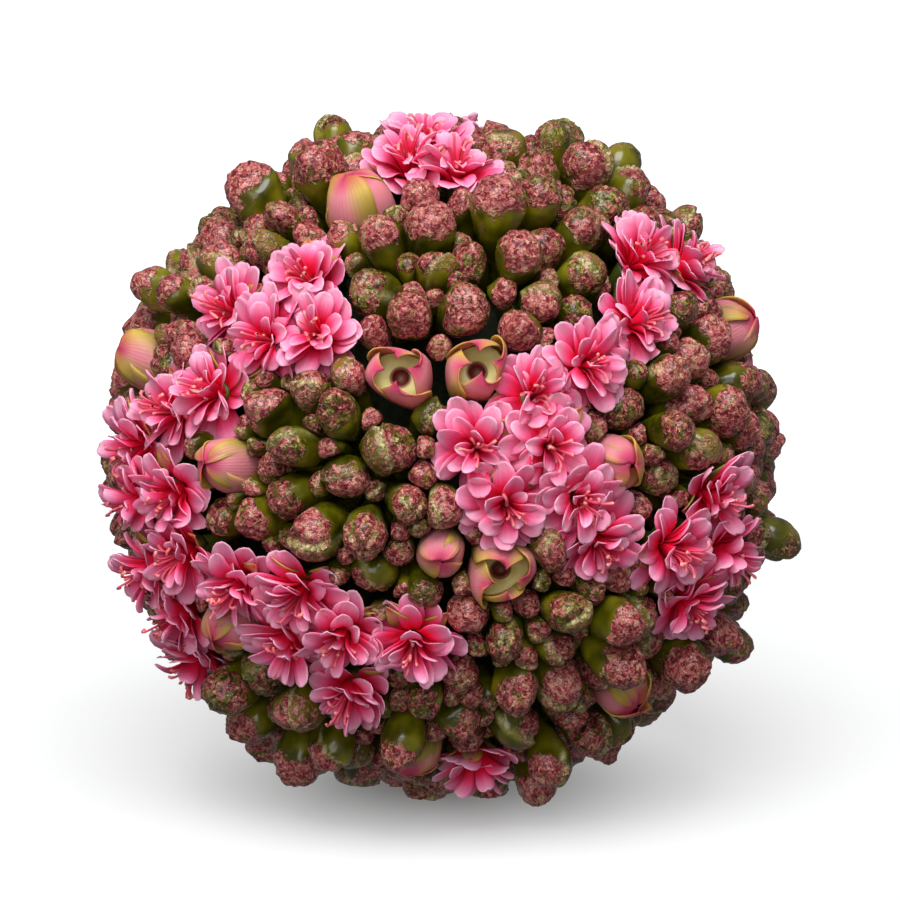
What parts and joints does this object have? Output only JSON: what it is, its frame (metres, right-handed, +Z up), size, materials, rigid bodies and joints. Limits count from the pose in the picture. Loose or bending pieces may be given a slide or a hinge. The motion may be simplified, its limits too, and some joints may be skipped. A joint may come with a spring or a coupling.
{
  "type": "artificial kalanchoe flower ball",
  "caption": "Decorative ball of artificial kalanchoe: a foam ball covered all over with moulded bud sprays, double pink blossoms and calyx cups on picks.",
  "frame": {"origin": "middle of the ball's outline, on the surface that the ball lies on", "axes": "+Z up, -Y towards the front that the picture shows"},
  "size_m": [0.136, 0.1361, 0.1352],
  "materials": {
    "foam": "green foam, matt",
    "bud_plastic": "soft moulded plastic, olive green stalks and dusty pink mottled heads, satin gloss",
    "petal_cloth": "thin polyester petal cloth, light pink tips and rose red throats",
    "sepal_cloth": "ribbed polyester cloth, pink with olive yellow edges"
  },
  "bodies": {
    "root": {"bunch_bottom": "petal_cloth", "bunch_centre": "petal_cloth", "bunch_left": "petal_cloth", "bunch_low": "petal_cloth", "bunch_low_middle": "petal_cloth", "bunch_lower_left": "petal_cloth", "bunch_right": "petal_cloth", "bunch_top": "petal_cloth", "bunch_upper_left": "petal_cloth", "bunch_upper_right": "petal_cloth", "cup_below_centre": "sepal_cloth", "cup_left_of_pair": "sepal_cloth", "cup_lower_right": "sepal_cloth", "cup_middle": "sepal_cloth", "cup_right_of_pair": "sepal_cloth", "cup_upper_left": "sepal_cloth", "far_bunch_centre": "petal_cloth", "far_bunch_left": "petal_cloth", "far_bunch_low": "petal_cloth", "far_bunch_low_middle": "petal_cloth", "far_bunch_lower_left": "petal_cloth", "far_bunch_right": "petal_cloth", "far_bunch_top": "petal_cloth", "far_bunch_upper_left": "petal_cloth", "far_bunch_upper_right": "petal_cloth", "far_cup_below_centre": "sepal_cloth", "far_cup_left_of_pair": "sepal_cloth", "far_cup_lower_right": "sepal_cloth", "far_cup_middle": "sepal_cloth", "far_cup_right_of_pair": "sepal_cloth", "far_cup_upper_left": "sepal_cloth", "far_spray_left": "bud_plastic", "far_spray_low_middle": "bud_plastic", "far_spray_low_right": "bud_plastic", "far_spray_lower_left": "bud_plastic", "far_spray_lower_middle": "bud_plastic", "far_spray_lower_right": "bud_plastic", "far_spray_middle": "bud_plastic", "far_spray_right": "bud_plastic", "far_spray_top_front": "bud_plastic", "far_spray_top_left": "bud_plastic", "far_spray_top_right": "bud_plastic", "far_spray_top_side": "bud_plastic", "far_spray_upper_left": "bud_plastic", "foam_ball": "foam", "spray_foot": "bud_plastic", "spray_left": "bud_plastic", "spray_low_middle": "bud_plastic", "spray_low_right": "bud_plastic", "spray_lower_left": "bud_plastic", "spray_lower_middle": "bud_plastic", "spray_lower_right": "bud_plastic", "spray_middle": "bud_plastic", "spray_right": "bud_plastic", "spray_top_front": "bud_plastic", "spray_top_left": "bud_plastic", "spray_top_right": "bud_plastic", "spray_top_side": "bud_plastic", "spray_upper_left": "bud_plastic"}
  },
  "joints": []
}
